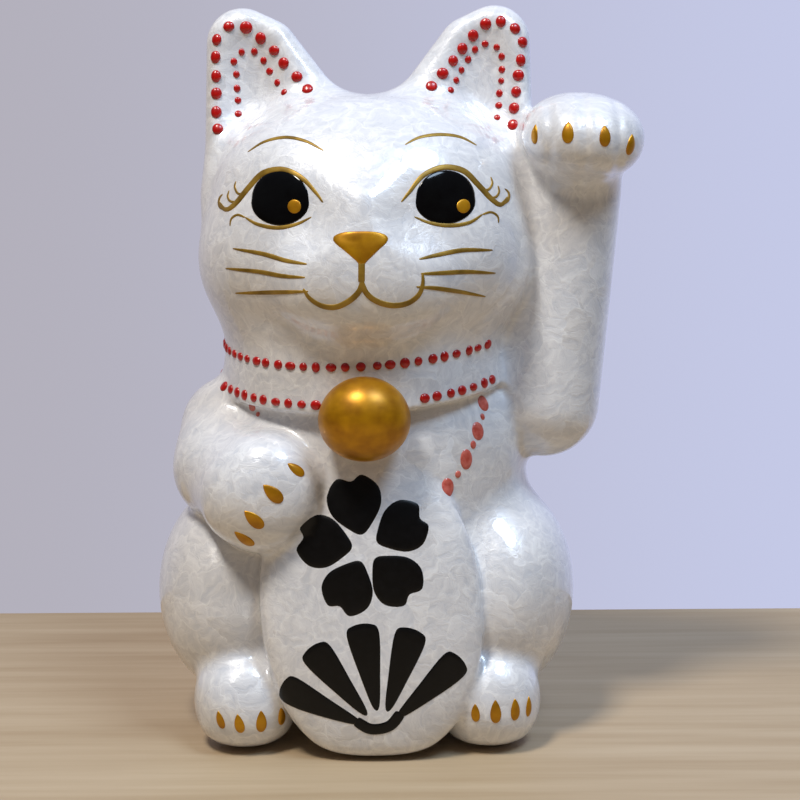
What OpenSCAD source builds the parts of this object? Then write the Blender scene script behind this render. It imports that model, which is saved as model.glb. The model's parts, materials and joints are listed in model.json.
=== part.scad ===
// Beckoning cat figurine in white glazed ceramic, with a raised left paw, an oval tablet and a bell.
// Millimetres, +Z up, the cat faces -Y. The origin is the middle of the figure's box, on the table.

/* [Casting] */
// Thickness of the slip-cast wall
wall = 4.5; // [3.5:0.5:5]
// Facets round each large soft form
form_facets = 24; // [20:4:32]
// Facets round each space inside the casts
inner_facets = 14; // [12:2:20]
// Facets round each enamel dot and the end of each line
dot_facets = 7; // [5:1:12]

/* [Head] */
// Half width, half depth and half height of the skull
skull_r = [47.2, 41, 38.3]; // [36:0.5:50]
// Height of the middle of the skull
skull_z = 148; // [146:0.5:150]
// Half width, half depth and half height of each cheek
cheek_r = [30.8, 36, 25.5]; // [24:0.5:38]
// Distance of each cheek from the head's middle
cheek_x = 19; // [17:0.5:20]
// Radius of the ear's rounded tip
ear_tip_r = 9.6; // [8:0.2:10]
// Thickness of an ear
ear_t = 11; // [9:0.5:12]

/* [Body] */
// Half width, half depth and half height of the trunk
trunk_r = [47, 42, 58]; // [40:0.5:60]
// Half width, half depth and half height of the shoulders
shoulder_r = [46, 38, 32]; // [30:0.5:48]
// Half width, half depth and half height of a haunch
haunch_r = [23, 33, 31.5]; // [20:0.5:34]
// Distance of each haunch from the body's middle
haunch_x = 39.4; // [37:0.1:40]
// Half width, half depth and half height of a foot
foot_r = [15.3, 15, 16]; // [13:0.1:17]
// Distance of each foot from the body's middle
foot_x = 35.5; // [34:0.5:37]

/* [Arms] */
// Radius of the raised arm at its elbow
elbow_r = 17; // [15:0.5:18]
// Radius of the raised arm at its wrist
wrist_r = 14.3; // [13:0.1:15]
// Half width, half depth and half height of the raised paw
raised_paw_r = [17.4, 18, 12]; // [11:0.2:19]
// Radius of the lowered arm at its shoulder
shoulder_end_r = 16.4; // [15:0.2:17]
// Half length, half depth and half width of the lowered paw
lowered_paw_r = [13.5, 11, 15.5]; // [10:0.5:16]

/* [Tablet, collar and bell] */
// Half width, half thickness and half height of the oval tablet
tablet_r = [32, 8.5, 43]; // [8:0.5:43]
// Radius of the collar band
collar_r = 42.1; // [41:0.1:43]
// Height of the collar band
collar_h = 15.3; // [14:0.1:16]
// Number of enamel dots in each row round the collar
collar_dots = 62; // [50:1:66]
// Half width, half depth and half height of the bell
bell_r = [12.7, 10.5, 11.7]; // [9:0.1:13]

/* [Base] */
// Diameter of the drain hole
drain_d = 22; // [18:1:24]
// Depth of the recess round the drain hole
recess_t = 2; // [1.6:0.2:2.4]
// Clearance round the stopper, on the radius
stopper_gap = 0.05; // [0.03:0.01:0.1]

/* [Decoration] */
// Thickness of the painted lines
line_t = 0.3; // [0.2:0.05:0.4]
// Thickness of the enamel patches, claws and ear dots
enamel_t = 0.6; // [0.4:0.1:0.8]

/* [Hidden] */

// Middle of the figure's box before it is centred, across and front to back
box_mid = [8.66, -2.75];
// The figure was luted by hand, so head and body stand a little off one another
head_x = 0.8;
body_x = -0.6;
squareness = 0.17;
reach = 100;

trunk_c = [body_x, 2, 50];
shoulder_c = [0.4, 1, 88];
haunch_c = [haunch_x, -5, 40.5];
foot_c = [foot_x, -29, 13];
tail_root = [14, 38, 14];
tail_end = [16, 38, 27];
tail_r = [9, 10, 9];

elbow_c = [53.6, -3, 98];
wrist_c = [60.8, -2, 158];
raised_paw_c = [62.8, -12, 173.6];
raised_paw_tilt = [10, 5, 0];

upper_arm_c = [-40.5, -7, 90];
lower_elbow_c = [-42, -15, 79];
lower_elbow_r = 15;
lower_wrist_c = [-32, -29, 76];
lower_wrist_r = 13.5;
lowered_paw_c = [-26.8, -36, 75.5];
lowered_paw_turn = 41;
paw_plump = 2.5;

tablet_c = [0.8, -37.5, 42];
tablet_turn = [-7, -4, 0];

collar_c = [0.4, 0, 109];
collar_tilt = 7;
collar_low = -5.3;
collar_depth_ratio = 1 / 1.05;
collar_edge = 1.2;
collar_dot_r = 1.5;
upper_row_z = 7.6;
lower_row_z = -2.7;
bell_c = [1, -43, 97.6];

// Painted features, as points across and up from the head's middle and the table
eye_c = [22, 157.8];
eye_size = [15.6, 14.4];
glint_c = [4, 155];
glint_d = 3.4;
nose_top = [5.4, 147];
nose_tip = [0, 140.4];
claw_size = [3, 6];
lowered_claw_size = [3.6, 6];
raised_claws = [[48.4, 174], [57, 174.6], [67.2, 173.4], [75, 171]];
lowered_claws = [[-18.3, 84], [-24.5, 78], [-29.9, 70.7], [-33.4, 63.8]];
first_foot_claw = [25.5, 11.5];
foot_claw_gap = 5.6;
outer_dot_d = 3.4;
inner_dot_d = 2.2;
bead_large_d = 3.8;
bead_small_d = 2.2;
blossom_d = 30;
fan_r = 31;
ornament_turn = 8;

ear_pivot = [0, 1, 185];
ear_lean = 8;
ear_tip = [35.9, 201.6];
ear_outer_foot = [41, 160];
ear_inner_foot = [9.5, 169];
ear_dish_c = [33.5, -8.5, 186];
ear_dish_r = [9.5, 7.5, 20];
// Each row of ear dots: centre and radius of its arch, then where its two straight sides end
outer_row = [[35.4, 200.4], 6.4, [43.6, 176.7], [15, 187.8]];
inner_row = [[34.3, 194.4], 4.3, [36.8, 181], [23.7, 186.8]];
arch_from = 4;
arch_to = 141;

neck_bore_r = 30;
neck_bore_h = 36;
shoulder_bore_x = 27;
shoulder_bore_r = 9;
stopper_flange_r = 14.5;
recess_r = 17;
flange_t = 1.4;
bore_facets = 48;
stopper_h = 7.5;

// ---------- shared shapes ----------

function facets(grow) = grow > -1 ? form_facets : inner_facets;

module ellipsoid(center, radii, grow = 0)
    translate(center)
        scale(radii + grow * [1, 1, 1])
            sphere(1, $fn = facets(grow));

module ball(center, radius, grow = 0)
    translate(center) sphere(radius + grow, $fn = facets(grow));

// Four ellipsoids whose hull is a squarer ellipsoid, seen from the front
module four_corners(center, radii, grow = 0)
    for (side = [-1, 1], level = [-1, 1])
        ellipsoid(
            center + squareness * [side * radii[0], 0, level * radii[2]],
            [radii[0] * (1 - squareness), radii[1], radii[2] * (1 - squareness)],
            grow
        );

// Only the half of a pair on the cat's own left is drawn; the other is its mirror image
module on_side(side)
    scale([side, 1, 1]) children();

// A soft form is one smooth skin, kept as a closed mesh
module soft()
    resize([0, 0, 0]) children();

module above_table(level = 0)
    intersection() {
        children();
        translate([-reach, -reach, level]) cube([2 * reach, 2 * reach, 3 * reach]);
    }

module centred()
    translate([-box_mid[0], -box_mid[1], 0]) children();

// ---------- forms, each grown by a distance so that walls and enamel follow them ----------

module trunk_form(grow = 0)
    union() {
        hull() {
            four_corners(trunk_c, trunk_r, grow);
            ellipsoid(shoulder_c, shoulder_r, grow);
        }
        for (side = [-1, 1])
            translate([body_x, 0, 0]) on_side(side) ellipsoid(haunch_c, haunch_r, grow);
    }

module head_form(grow = 0)
    translate([head_x, 0, 0]) {
        hull() {
            four_corners([0, -2, skull_z], skull_r, grow);
            for (side = [-1, 1])
                ellipsoid([side * cheek_x, -3, skull_z - 10], cheek_r, grow);
        }
        ellipsoid([0, -40, skull_z - 6], [9, 8, 17], grow);
        for (side = [-1, 1])
            ellipsoid([side * 7.5, -38.5, skull_z - 13], [13, 9.6, 11], grow);
    }

module ear_form(grow = 0)
    in_ear()
        difference() {
            hull()
                for (corner = [ear_tip, ear_outer_foot, ear_inner_foot])
                    ellipsoid([corner[0], 0, corner[1]], [ear_tip_r, ear_t / 2, ear_tip_r], grow);
            ellipsoid(ear_dish_c, ear_dish_r, -grow);
        }

module in_ear()
    translate([head_x, ear_pivot[1], ear_pivot[2]])
        rotate([-ear_lean, 0, 0])
            translate([0, 0, -ear_pivot[2]])
                children();

module raised_arm_form(grow = 0)
    union() {
        raised_limb(grow);
        raised_paw_form(grow);
    }

module raised_limb(grow = 0)
    hull() {
        ball(elbow_c, elbow_r, grow);
        ball(wrist_c, wrist_r, grow);
    }

module raised_paw_form(grow = 0)
    translate(raised_paw_c)
        rotate(raised_paw_tilt)
            ellipsoid([0, 0, 0], raised_paw_r, grow);

module lowered_arm_form(grow = 0)
    union() {
        lowered_limb(grow);
        hull() {
            ball(lower_elbow_c, lower_elbow_r, grow);
            ball(lower_wrist_c, lower_wrist_r, grow);
        }
        lowered_paw_form(grow);
    }

module lowered_limb(grow = 0)
    hull() {
        ball(upper_arm_c, shoulder_end_r, grow);
        ball(lower_elbow_c, lower_elbow_r, grow);
    }

module lowered_paw_form(grow = 0)
    translate(lowered_paw_c)
        rotate([0, lowered_paw_turn, 0])
            hull()
                for (side = [-1, 1])
                    ellipsoid([0, 0, side * paw_plump], lowered_paw_r - [0, 0, paw_plump], grow);

module foot_form(side, grow = 0)
    on_side(side) hull() four_corners(foot_c, foot_r, grow);

module tail_form()
    hull() {
        ellipsoid(tail_root, tail_r);
        ellipsoid(tail_end, tail_r);
    }

module tablet_form(grow = 0)
    translate(tablet_c)
        rotate(tablet_turn)
            hull() four_corners([0, 0, 0], tablet_r, grow);

module on_collar()
    translate(collar_c)
        rotate([collar_tilt, 0, 0])
            scale([1, collar_depth_ratio, 1])
                children();

module collar_form()
    on_collar()
        hull() {
            translate([0, 0, collar_low]) cylinder(r = collar_r - collar_edge, h = collar_h, $fn = 64);
            translate([0, 0, collar_low + collar_edge])
                cylinder(r = collar_r, h = collar_h - 2 * collar_edge, $fn = 64);
        }

module bell_form()
    ellipsoid(bell_c, bell_r);

// The space inside the casts: trunk, neck, head and both arms open into one another
module cavity()
    union() {
        above_table(recess_t + wall) trunk_form(-wall);
        head_form(-wall);
        translate([0, 0, shoulder_c[2]]) cylinder(r = neck_bore_r, h = neck_bore_h, $fn = inner_facets);
        raised_limb(-wall);
        translate([shoulder_bore_x, elbow_c[1], elbow_c[2]])
            rotate([0, 90, 0])
                cylinder(r = shoulder_bore_r, h = elbow_c[0] - shoulder_bore_x, $fn = inner_facets);
        lowered_limb(-wall);
    }

// ---------- ceramic casts ----------

module torso_cast()
    color("white")
        centred()
            soft()
                difference() {
                    above_table() trunk_form();
                    head_form();
                    cavity();
                    translate([0, 0, -recess_t]) cylinder(r = recess_r, h = 2 * recess_t, $fn = bore_facets);
                    translate([0, 0, -recess_t]) cylinder(d = drain_d, h = wall + 4 * recess_t, $fn = bore_facets);
                }

module foot(side)
    color("white")
        centred()
            soft()
                difference() {
                    above_table() foot_form(side);
                    trunk_form();
                    tablet_form();
                }

module left_foot() foot(1);

module right_foot() foot(-1);

module tail()
    color("white")
        centred()
            soft()
                difference() {
                    tail_form();
                    trunk_form();
                }

module head_cast()
    color("white")
        centred()
            soft()
                difference() {
                    head_form();
                    cavity();
                }

module ear(side)
    color("white")
        centred()
            soft()
                difference() {
                    translate([head_x, 0, 0]) on_side(side) translate([-head_x, 0, 0]) ear_form();
                    head_form();
                    raised_arm_form();
                }

module left_ear() ear(1);

module right_ear() ear(-1);

module raised_arm_cast()
    color("white")
        centred()
            soft()
                difference() {
                    raised_arm_form();
                    head_form();
                    trunk_form();
                    cavity();
                }

module lowered_arm_cast()
    color("white")
        centred()
            soft()
                difference() {
                    lowered_arm_form();
                    head_form();
                    trunk_form();
                    cavity();
                }

module tablet()
    color("whitesmoke")
        centred()
            soft()
                difference() {
                    above_table() tablet_form();
                    trunk_form();
                    lowered_arm_form();
                }

module collar_band()
    color("white")
        centred()
            soft()
                difference() {
                    collar_form();
                    head_form();
                    trunk_form();
                    raised_arm_form();
                    lowered_arm_form();
                }

module bell()
    color("goldenrod")
        centred()
            soft()
                difference() {
                    bell_form();
                    trunk_form();
                    collar_form();
                }

// Soft plug in the drain hole, drawn out downwards
module base_stopper()
    color("gainsboro")
        centred()
            union() {
                translate([0, 0, recess_t - stopper_gap - flange_t])
                    cylinder(r = stopper_flange_r, h = flange_t, $fn = 64);
                translate([0, 0, recess_t - stopper_gap - flange_t / 2])
                    cylinder(r = drain_d / 2 - stopper_gap, h = stopper_h, $fn = 64);
            }

// ---------- decoration ----------

// A flat outline, x across and y up, thrown forwards from a plane across the figure
module stencil(from_y = 0)
    translate([0, from_y, 0])
        rotate([90, 0, 0])
            linear_extrude(height = reach)
                children();

// A layer of enamel on the head, inside the outline
module head_layer(thick)
    centred()
        soft()
            intersection() {
                difference() {
                    head_form(thick);
                    head_form();
                }
                translate([head_x, 0, 0]) stencil() children();
            }

function curve(from, via, to, t) = (1 - t) * (1 - t) * from + 2 * t * (1 - t) * via + t * t * to;

// A brush line along a curve, thin at the start and at the end
module brush_line(from, via, to, width, steps = 8)
    for (i = [0 : steps - 1])
        hull()
            for (t = [i / steps, (i + 1) / steps])
                translate(curve(from, via, to, t))
                    circle(d = width * (0.35 + 0.65 * sin(180 * t)), $fn = dot_facets);

module eye(side)
    color("black")
        head_layer(enamel_t)
            on_side(side)
                translate(eye_c) scale(eye_size) circle(d = 1, $fn = 28);

module left_eye() eye(1);

module right_eye() eye(-1);

module eye_glint(side)
    color("goldenrod")
        centred()
            soft()
                intersection() {
                    difference() {
                        head_form(enamel_t + line_t);
                        head_form(enamel_t);
                    }
                    translate([head_x + side * eye_c[0] + glint_c[0], 0, glint_c[1]])
                        rotate([90, 0, 0]) cylinder(d = glint_d, h = reach, $fn = 12);
                }

module left_eye_glint() eye_glint(1);

module right_eye_glint() eye_glint(-1);

module eye_liner(side)
    color("darkgoldenrod")
        head_layer(line_t)
            difference() {
                on_side(side) {
                    brush_line([10.2, 156.6], [21, 176], [33.5, 159.5], 1.3);
                    brush_line([32.6, 160.6], [38, 151], [40.4, 157.2], 1.2);
                    brush_line([32.6, 160.4], [36, 158.6], [36, 162], 0.9, 5);
                    brush_line([34.2, 158], [37.6, 156.2], [37.8, 159.4], 0.9, 5);
                    brush_line([13.6, 152.4], [23.5, 146.6], [33, 152.6], 1.1);
                    brush_line([33, 152.6], [36.2, 153.6], [36.8, 150.2], 0.9, 5);
                }
                on_side(side) translate(eye_c) scale(eye_size) circle(d = 1, $fn = 28);
            }

module left_eye_liner() eye_liner(1);

module right_eye_liner() eye_liner(-1);

module brow(side)
    color("goldenrod")
        head_layer(line_t)
            on_side(side)
                brush_line([11.4, 171.2], [21.5, 177.4], [32, 170.6], 0.9);

module left_brow() brow(1);

module right_brow() brow(-1);

module nose()
    color("goldenrod")
        head_layer(enamel_t)
            hull() {
                for (side = [-1, 1])
                    on_side(side) translate(nose_top) circle(d = 3.6, $fn = 16);
                translate(nose_tip) circle(d = 2, $fn = 12);
            }

module mouth_line()
    color("darkgoldenrod")
        head_layer(line_t)
            for (side = [-1, 1])
                on_side(side) {
                    brush_line([0, 139], [0, 136], [0.5, 132.6], 1.5, 3);
                    brush_line([0, 134.6], [3.4, 128.4], [9, 129.2], 1.6, 6);
                    brush_line([7.6, 129], [15.6, 129], [15.6, 135.8], 1.4, 6);
                }

module whiskers(side)
    color("darkgoldenrod")
        head_layer(line_t)
            on_side(side) {
                brush_line([15.4, 141], [25, 144], [35.5, 143.4], 1.2, 6);
                brush_line([17.4, 137.6], [26, 138.6], [37, 137.2], 1.2, 6);
                brush_line([17.8, 133.2], [25, 132.4], [34, 130.6], 1.2, 6);
            }

module left_whiskers() whiskers(1);

module right_whiskers() whiskers(-1);

module claw(size, turn = 0)
    rotate(turn) scale(size) circle(d = 1, $fn = 12);

module raised_paw_claws()
    color("goldenrod")
        centred()
            soft()
                intersection() {
                    difference() {
                        raised_paw_form(enamel_t);
                        raised_paw_form();
                    }
                    stencil(raised_paw_c[1])
                        for (at = raised_claws)
                            translate(at) claw(claw_size);
                }

module lowered_paw_claws()
    color("goldenrod")
        centred()
            soft()
                intersection() {
                    difference() {
                        lowered_paw_form(enamel_t);
                        lowered_paw_form();
                    }
                    stencil(lowered_paw_c[1])
                        for (at = lowered_claws)
                            translate(at) claw(lowered_claw_size, lowered_paw_turn);
                }

module foot_claws(side)
    color("goldenrod")
        centred()
            soft()
                intersection() {
                    difference() {
                        foot_form(side, enamel_t);
                        foot_form(side);
                        tablet_form();
                    }
                    stencil(foot_c[1])
                        on_side(side)
                            for (i = [0 : 3])
                                translate(first_foot_claw + [foot_claw_gap * i, 0]) claw(claw_size);
                }

module left_foot_claws() foot_claws(1);

module right_foot_claws() foot_claws(-1);

// A point at distance s along an arched row: up one straight side, over the arch, down the other
function on_arch(angle, row) = row[0] + row[1] * [cos(angle), sin(angle)];
function side_length(foot, angle, row) = norm(on_arch(angle, row) - foot);
function arch_length(row) = row[1] * PI * (arch_to - arch_from) / 180;
function row_length(row) =
    side_length(row[2], arch_from, row) + arch_length(row) + side_length(row[3], arch_to, row);
function between(from, to, t) = from + t * (to - from);
function row_point(row, s) =
    let (up = side_length(row[2], arch_from, row), over = arch_length(row), down = side_length(row[3], arch_to, row))
    s <= up ? between(row[2], on_arch(arch_from, row), s / up)
    : s <= up + over ? on_arch(between(arch_from, arch_to, (s - up) / over), row)
    : between(on_arch(arch_to, row), row[3], (s - up - over) / down);

module ear_dots(side, row, count, diameter)
    color("firebrick")
        centred()
            soft()
                difference() {
                    translate([head_x, 0, 0]) on_side(side) translate([-head_x, 0, 0])
                        intersection() {
                            difference() {
                                ear_form(enamel_t);
                                ear_form();
                            }
                            in_ear()
                                stencil()
                                    for (i = [0 : count - 1])
                                        translate(row_point(row, i * row_length(row) / (count - 1)))
                                            circle(d = diameter, $fn = dot_facets);
                        }
                    head_form();
                    raised_arm_form();
                }

module left_ear_outer_dots() ear_dots(1, outer_row, 14, outer_dot_d);

module right_ear_outer_dots() ear_dots(-1, outer_row, 13, outer_dot_d);

module left_ear_inner_dots() ear_dots(1, inner_row, 13, inner_dot_d);

module right_ear_inner_dots() ear_dots(-1, inner_row, 11, inner_dot_d);

module collar_row(level)
    color("firebrick")
        centred()
            soft()
                difference() {
                    on_collar()
                        for (i = [0 : collar_dots - 1])
                            rotate([0, 0, 360 * i / collar_dots])
                                translate([0, collar_dot_r / 4 - collar_r, level])
                                    rotate([90, 0, 0])
                                        cylinder(
                                            r1 = collar_dot_r,
                                            r2 = collar_dot_r / 2,
                                            h = collar_dot_r * 0.8,
                                            $fn = dot_facets
                                        );
                    collar_form();
                    head_form();
                    raised_arm_form();
                    lowered_arm_form();
                    bell_form();
                }

module collar_upper_dots() collar_row(upper_row_z);

module collar_lower_dots() collar_row(lower_row_z);

// Beads of coral enamel hanging from the collar, large and small by turns
module chest_beads(from, to, count)
    color("salmon")
        centred()
            soft()
                intersection() {
                    difference() {
                        trunk_form(enamel_t);
                        trunk_form();
                        collar_form();
                        lowered_arm_form();
                    }
                    stencil()
                        for (i = [0 : count - 1])
                            translate(between(from, to, count > 1 ? i / (count - 1) : 0))
                                circle(d = i % 2 == 0 ? bead_large_d : bead_small_d, $fn = 10);
                }

module left_chest_beads() chest_beads([33.6, 98.2], [24.4, 78], 7);

module right_chest_beads() chest_beads([-30.6, 97.4], [-28.6, 95], 2);

// A plum blossom over a folding fan, painted with a broad brush
module blossom(diameter)
    difference() {
        for (i = [0 : 4])
            rotate(72 * i)
                translate([0, diameter * 0.27]) circle(d = diameter * 0.42, $fn = 16);
        circle(d = diameter * 0.17, $fn = 12);
    }

module fan(radius)
    for (angle = [-50 : 25 : 50])
        rotate(angle)
            translate([0, radius * 0.3])
                polygon([
                    [-radius * 0.04, 0],
                    [radius * 0.04, 0],
                    [radius * 0.17, radius * 0.62],
                    [0, radius * 0.7],
                    [-radius * 0.17, radius * 0.62]
                ]);

module tablet_ornament()
    color("black")
        centred()
            soft()
                difference() {
                    intersection() {
                        difference() {
                            tablet_form(line_t);
                            tablet_form();
                        }
                        translate(tablet_c)
                            stencil()
                                rotate(ornament_turn) {
                                    translate([-1, 19]) blossom(blossom_d);
                                    translate([2, -29]) fan(fan_r);
                                }
                    }
                    lowered_arm_form();
                }

torso_cast();
left_foot();
right_foot();
tail();
head_cast();
left_ear();
right_ear();
raised_arm_cast();
lowered_arm_cast();
tablet();
collar_band();
bell();
base_stopper();
left_eye();
right_eye();
left_eye_glint();
right_eye_glint();
left_eye_liner();
right_eye_liner();
left_brow();
right_brow();
nose();
mouth_line();
left_whiskers();
right_whiskers();
raised_paw_claws();
lowered_paw_claws();
left_foot_claws();
right_foot_claws();
left_ear_outer_dots();
left_ear_inner_dots();
right_ear_outer_dots();
right_ear_inner_dots();
collar_upper_dots();
collar_lower_dots();
left_chest_beads();
right_chest_beads();
tablet_ornament();
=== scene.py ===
# %% [markdown]
# # A beckoning cat in pearl-glazed ceramic
# The figure is a seated cat, about 21 cm tall, that raises its left paw and holds an oval tablet. Real
# ones are slip-cast in plaster moulds: the trunk, the head and the arms are cast, stuck together with
# slip, smoothed, and fired as one body. A pearl lustre glaze covers all of it, and the eyes, lines,
# claws, bell and dots are painted on the fired glaze.
#
# The lesson builds it the same way. A clay body is described by blended ellipsoids, a skin is drawn over
# it, the skin is parted where the casts were joined, and the painting is laid on that skin.

# %% The frame that the piece must fit
import json
import math
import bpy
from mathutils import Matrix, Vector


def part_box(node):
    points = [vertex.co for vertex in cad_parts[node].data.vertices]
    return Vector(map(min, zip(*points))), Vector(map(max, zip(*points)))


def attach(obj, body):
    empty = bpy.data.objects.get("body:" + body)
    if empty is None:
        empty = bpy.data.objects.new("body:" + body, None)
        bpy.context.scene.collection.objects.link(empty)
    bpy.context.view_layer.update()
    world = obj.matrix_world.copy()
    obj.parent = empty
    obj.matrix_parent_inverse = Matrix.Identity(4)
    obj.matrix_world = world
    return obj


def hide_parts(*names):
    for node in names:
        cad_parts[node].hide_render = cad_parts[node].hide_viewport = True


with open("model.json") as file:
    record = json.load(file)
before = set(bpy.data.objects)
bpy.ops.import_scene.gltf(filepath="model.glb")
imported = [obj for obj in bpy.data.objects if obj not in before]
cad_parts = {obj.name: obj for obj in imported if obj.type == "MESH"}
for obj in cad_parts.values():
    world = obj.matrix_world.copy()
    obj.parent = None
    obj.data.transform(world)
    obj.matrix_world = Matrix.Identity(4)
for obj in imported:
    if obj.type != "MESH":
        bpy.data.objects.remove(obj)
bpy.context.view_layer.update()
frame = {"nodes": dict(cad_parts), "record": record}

from concurrent.futures import ThreadPoolExecutor

import bpy
import numpy as np
from mathutils import Matrix, Vector

MM = 0.001
plug_low, plug_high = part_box("base_stopper")
FIGURE = np.array([(plug_low.x + plug_high.x) / 2, (plug_low.y + plug_high.y) / 2, 0.0]) / MM

# %% [markdown]
# ## Soft solids
# Each function gives, for every point, roughly how far it lies outside a solid (negative inside), in
# millimetres. Hand-modelled clay has no sharp corners, so solids are blended: `join` fills the crease
# between two with slip of a given width, and `carve` presses one into the other like a thumb.

# %% Soft solids
def ball(p, centre, radii):
    radii = np.asarray(radii, np.float32)
    q = (p - np.asarray(centre, np.float32)) / radii
    far = np.sqrt((q * q).sum(-1))
    slope = np.sqrt(((q / radii) ** 2).sum(-1)) + 1e-9
    return far * (far - 1) / slope


def turned(axis, degrees):
    return np.array(Matrix.Rotation(math.radians(degrees), 3, axis), np.float32)


def pillow(p, centre, radii, power, turn=None):
    """An ellipsoid whose outline from the front is squarer than an ellipse."""
    q = p - np.asarray(centre, np.float32)
    if turn is not None:
        q = q @ turn
    q = np.maximum(np.abs(q) / np.asarray(radii, np.float32), 1e-5)
    outline = (q[..., 0] ** power + q[..., 2] ** power) ** (2 / power)
    far = np.sqrt(outline + q[..., 1] ** 2)
    pull = outline ** ((2 - power) / 2)
    slope = [pull * q[..., 0] ** (power - 1) / radii[0], q[..., 1] / radii[1],
             pull * q[..., 2] ** (power - 1) / radii[2]]
    steep = np.sqrt(sum(s * s for s in slope)) / far + 1e-6
    return (far - 1) / steep


def cushion(p, centre, radii, power, turn):
    """An ellipsoid that is squarer all round, with flatter faces."""
    radii = np.asarray(radii, np.float32)
    q = np.maximum(np.abs((p - np.asarray(centre, np.float32)) @ turn) / radii, 1e-6)
    total = (q**power).sum(-1)
    steep = q ** (power - 1) / radii * (total ** (1 / power - 1))[..., None]
    return (total ** (1 / power) - 1) / (np.sqrt((steep * steep).sum(-1)) + 1e-9)


def limb(p, start, end, start_radius, end_radius):
    """A cone with round ends."""
    start, end = np.asarray(start, np.float32), np.asarray(end, np.float32)
    run = end - start
    length2 = float(run @ run)
    drop = start_radius - end_radius
    lean2, inverse = length2 - drop * drop, 1 / length2
    q = p - start
    along = q @ run
    beyond = along - length2
    side2 = ((q * length2 - run * along[..., None]) ** 2).sum(-1)
    near2, far2 = along * along * length2, beyond * beyond * length2
    edge = np.sign(drop) * drop * drop * side2
    d = (np.sqrt(side2 * lean2 * inverse) + along * drop) * inverse - start_radius
    at_end = np.sign(beyond) * lean2 * far2 > edge
    d = np.where(at_end, np.sqrt(side2 + far2) * inverse - end_radius, d)
    at_start = ~at_end & (np.sign(along) * lean2 * near2 < edge)
    return np.where(at_start, np.sqrt(side2 + near2) * inverse - start_radius, d)


def join(a, b, width):
    overlap = np.maximum(width - np.abs(a - b), 0) / width
    return np.minimum(a, b) - overlap * overlap * width * 0.25


def carve(a, b, width):
    return -join(-a, b, width)


def flank(p, middle_x):
    """Both halves of a pair, folded on to the cat's own left."""
    q = p.copy()
    q[..., 0] = np.abs(q[..., 0] - middle_x)
    return q


print("soft solids: ball, pillow, cushion, limb; blends: join, carve")

# %% [markdown]
# ## The clay parts
# Sizes are in millimetres from the figure's axis on the table; the cat faces -Y. The head is a wide
# pillow with full cheeks, a short muzzle and shallow sockets for the painted eyes. The ears are round-
# cornered triangles, dished in front and leaning a little forward. The cat's left arm is raised, with
# the paw bent over; the right one rests on the tablet.

# %% The clay parts
HEAD_X = 0.8
EAR_LEAN = math.radians(8)
EAR_X = 1.5
EAR_CORNERS = ((36.8, 201.2), (37.8, 160.0), (8.0, 169.0), (30.6, 198.4))
EAR_ROUND = 10.5
COLLAR_C, COLLAR_R, COLLAR_TAPER = np.array([-0.3, 0.0, 108.8]), 42.5, 0.2
COLLAR_TURN = turned("X", -7) @ turned("Y", 2.4)
COLLAR_LOW, COLLAR_HIGH = -5.3, 15.5
COLLAR_DEPTH = 1.05
BELL_C, BELL_R = (0.6, -43.0, 97.6), (12.7, 10.5, 11.7)
TOE_GROOVES, GROOVE_DEPTH, GROOVE_WIDTH = (52.6, 61.9, 71.4), 0.55, 1.5
RECESS_R, RECESS_TOP = 17, 2
DRAIN_R, DRAIN_TOP = 11.1, 14
FAR_AWAY = 1e3


def head(p):
    q = flank(p, HEAD_X)
    d = pillow(p, (HEAD_X, -2, 148), (46.4, 41, 38.3), 2.5)
    d = join(d, ball(q, (19, -3, 138), (29.4, 36, 25.5)), 9)
    d = join(d, ball(p, (1, -41, 141), (8, 6, 16)), 12)
    d = join(d, ball(q, (8, -40, 134), (13, 7.5, 11)), 12)
    return carve(d, ball(q, (22, -49.8, 157), (13, 5.5, 11)), 8)


def outline_gap(x, z, corners):
    """How far a point of the front view lies outside a convex outline."""
    near, inside = None, None
    turn = np.sign((corners[1][0] - corners[0][0]) * (corners[2][1] - corners[0][1])
                   - (corners[1][1] - corners[0][1]) * (corners[2][0] - corners[0][0]))
    for (ax, az), (bx, bz) in zip(corners, corners[1:] + corners[:1]):
        ex, ez, vx, vz = bx - ax, bz - az, x - ax, z - az
        h = np.clip((vx * ex + vz * ez) / (ex * ex + ez * ez), 0, 1)
        gap = (vx - ex * h) ** 2 + (vz - ez * h) ** 2
        side = turn * (ex * vz - ez * vx)
        near = gap if near is None else np.minimum(near, gap)
        inside = side if inside is None else np.minimum(inside, side)
    return np.where(inside > 0, -1, 1) * np.sqrt(near)


def ears(p):
    q = flank(p, EAR_X)
    x, z = q[..., 0], q[..., 2]
    y = (q[..., 1] - 1) * math.cos(EAR_LEAN) - (z - 185) * math.sin(EAR_LEAN)
    d = carve(outline_gap(x, z, EAR_CORNERS) - EAR_ROUND, 5.5 - np.abs(y), 7)
    return carve(d, ball(np.stack([x, y, z], -1), (33.5, -8.5, 186), (9.5, 7.5, 20)), 5)


def trunk(p):
    d = pillow(p, (-0.5, 2, 50), (47, 42, 58), 2.5)
    d = join(d, ball(p, (1.2, 1, 86), (47.2, 38, 33)), 10)
    return join(d, ball(flank(p, -0.8), (39.3, -5, 40.5), (23, 33, 31.5)), 7)


def feet(p):
    return pillow(flank(p, -0.2), (35.2, -29, 13.4), (15, 15, 15.7), 2.15)


def tail(p):
    return limb(p, (12, 40, 13), (17, 39.5, 28), 9, 8)


def tablet(p):
    return cushion(p, (1.5, -37.5, 42), (31.3, 8.5, 43), 2.3, turned("Y", -4) @ turned("X", -7))


def lowered_arm(p):
    d = limb(p, (-39.4, -4.5, 88.6), (-40, -15, 79), 16, 14.6)
    d = join(d, limb(p, (-40, -15, 79), (-32, -29, 76), 15, 14), 7)
    return join(d, cushion(p, (-26.8, -36, 75.5), (13.5, 11, 15.5), 2.4, turned("Y", 41)), 13)


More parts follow.
